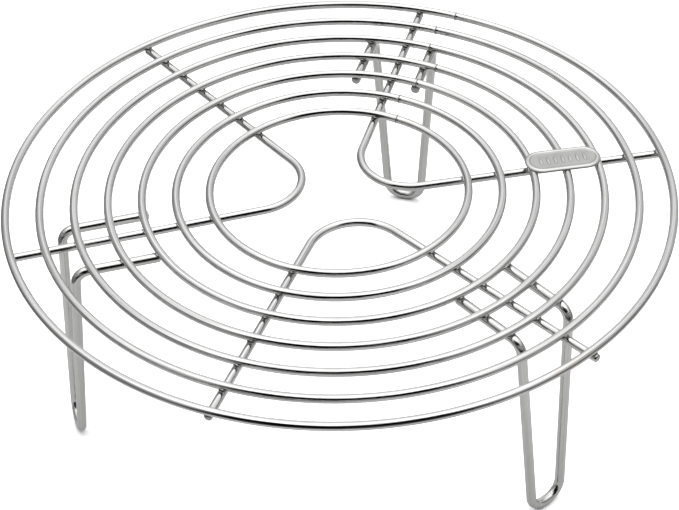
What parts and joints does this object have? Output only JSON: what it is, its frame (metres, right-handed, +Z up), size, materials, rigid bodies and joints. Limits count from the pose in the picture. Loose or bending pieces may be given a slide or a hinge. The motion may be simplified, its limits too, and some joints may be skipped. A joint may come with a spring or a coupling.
{
  "type": "cooling rack",
  "caption": "Round wire cooling rack: concentric rings on V-shaped support wires, raised on hairpin legs, with a small oval plate on top.",
  "frame": {"origin": "on the floor, under the common centre of the rings", "axes": "+Z up through the rings' centre; -Y towards the viewer's front, +X to the right"},
  "size_m": [0.24, 0.24, 0.0883],
  "materials": {
    "ring_wire": "bright drawn stainless steel wire, fine lengthwise draw marks",
    "support_wire": "bright drawn stainless steel wire, fine lengthwise draw marks",
    "leg_wire": "drawn stainless steel wire, slightly duller",
    "plate_sheet": "stamped stainless steel sheet, satin"
  },
  "bodies": {
    "root": {"ring_1": "ring_wire", "ring_2": "ring_wire", "ring_3": "ring_wire", "ring_4": "ring_wire", "ring_5": "ring_wire", "ring_6": "ring_wire", "ring_7": "ring_wire", "support_right": "support_wire", "support_left": "support_wire", "support_front": "support_wire", "leg_back": "leg_wire", "leg_left": "leg_wire", "leg_right": "leg_wire", "label_plate": "plate_sheet"}
  },
  "joints": []
}
